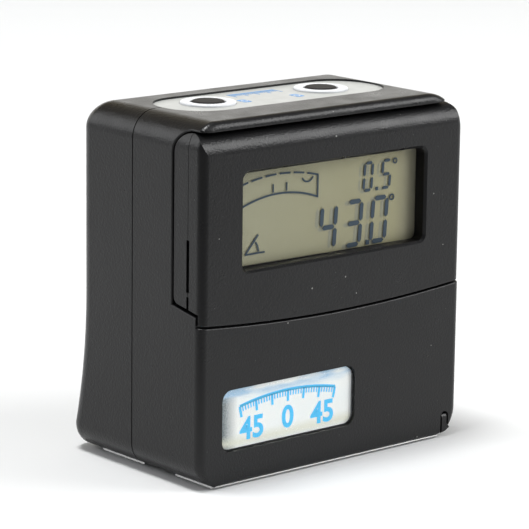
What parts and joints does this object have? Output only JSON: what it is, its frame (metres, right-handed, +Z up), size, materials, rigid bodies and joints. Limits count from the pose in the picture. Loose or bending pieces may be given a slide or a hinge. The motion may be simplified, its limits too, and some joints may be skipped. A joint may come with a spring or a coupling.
{
  "type": "digital angle gauge",
  "caption": "Pocket digital angle gauge: a black level box with a metal grooved base and a display head that tilts up on a top hinge.",
  "frame": {"origin": "centre of the base plate's underside, at the middle of the overall box", "axes": "+X to the right along the front, +Y from the display towards the back, +Z up from the base"},
  "size_m": [0.058, 0.0353, 0.0602],
  "materials": {
    "case_plastic": "fine grained matt black ABS",
    "head_plastic": "fine grained matt black ABS, slightly smoother",
    "base_aluminium": "milled and brushed aluminium",
    "steel_screws": "plated steel screws and pins",
    "magnet_nickel": "nickel-plated disc magnets",
    "inner_plastic": "dark grey moulded inner parts",
    "lcd_grey": "grey-green reflective liquid crystal cell",
    "lcd_film": "clear satin polarising film",
    "lcd_ink": "dark blue-grey display segments",
    "rubber_black": "soft black rubber buttons and connector strips",
    "board_green": "green circuit board laminate",
    "chip_black": "black moulded electronic packages",
    "wire_grey": "grey insulated wires",
    "panel_grey": "light grey printed overlay",
    "ring_white": "white moulded rings",
    "cell_jacket": "printed battery jacket",
    "contact_nickel": "nickel-plated spring contacts",
    "label_foil": "silvery pearl foil with blue print",
    "label_resin": "clear domed resin",
    "pin_brass": "header pins in a black strip"
  },
  "bodies": {
    "case": {"middle_shell": "case_plastic", "rear_cover": "case_plastic", "cover_screws": "steel_screws", "base_plate": "base_aluminium", "base_frame": "inner_plastic", "base_magnets": "magnet_nickel", "base_screws": "steel_screws", "case_wires": "wire_grey", "top_panel": "panel_grey", "button_rings": "ring_white", "power_switch": "chip_black", "zero_switch": "chip_black", "button_board": "board_green", "board_link": "pin_brass", "main_board": "board_green", "board_screws": "steel_screws", "controller_chip": "chip_black", "tilt_sensor": "chip_black", "battery_tray": "inner_plastic", "battery_cell": "cell_jacket", "battery_spring": "contact_nickel", "door_pin": "steel_screws", "catch_pin": "steel_screws", "label_foil": "label_foil", "label_dome": "label_resin"},
    "display_head": {"display_bezel": "head_plastic", "display_back_cover": "head_plastic", "display_screws": "steel_screws", "lcd_film": "lcd_film", "lcd_cell": "lcd_grey", "lcd_figures": "lcd_ink", "zebra_strips": "rubber_black", "display_board": "board_green", "display_wires": "wire_grey", "hinge_pins": "steel_screws", "friction_washers": "contact_nickel"},
    "power_key": {"power_button": "rubber_black", "power_switch_plunger": "chip_black"},
    "zero_key": {"zero_button": "rubber_black", "zero_switch_plunger": "chip_black"},
    "battery_lid": {"battery_door": "case_plastic", "door_contact": "contact_nickel"},
    "catch": {"door_catch": "case_plastic"}
  },
  "joints": [
    {"name": "display_tilt", "type": "hinge", "parent": "case", "child": "display_head", "pos_m": [0, -0.01418, 0.0547], "axis": [-1, 0, 0], "range_deg": [0, 90]},
    {"name": "power_press", "type": "slide", "parent": "case", "child": "power_key", "axis": [0, 0, -1], "range_m": [0, 0.0004], "stiffness_N_per_m": 2500},
    {"name": "zero_press", "type": "slide", "parent": "case", "child": "zero_key", "axis": [0, 0, -1], "range_m": [0, 0.0004], "stiffness_N_per_m": 2500},
    {"name": "door_swing", "type": "hinge", "parent": "case", "child": "battery_lid", "pos_m": [0.02795, -0.00367, 0.0133], "axis": [0, 0, 1], "range_deg": [0, 90]},
    {"name": "catch_flip", "type": "hinge", "parent": "case", "child": "catch", "pos_m": [0.026, -0.01682, 0.00305], "axis": [-1, 0, 0], "range_deg": [0, 75]}
  ]
}
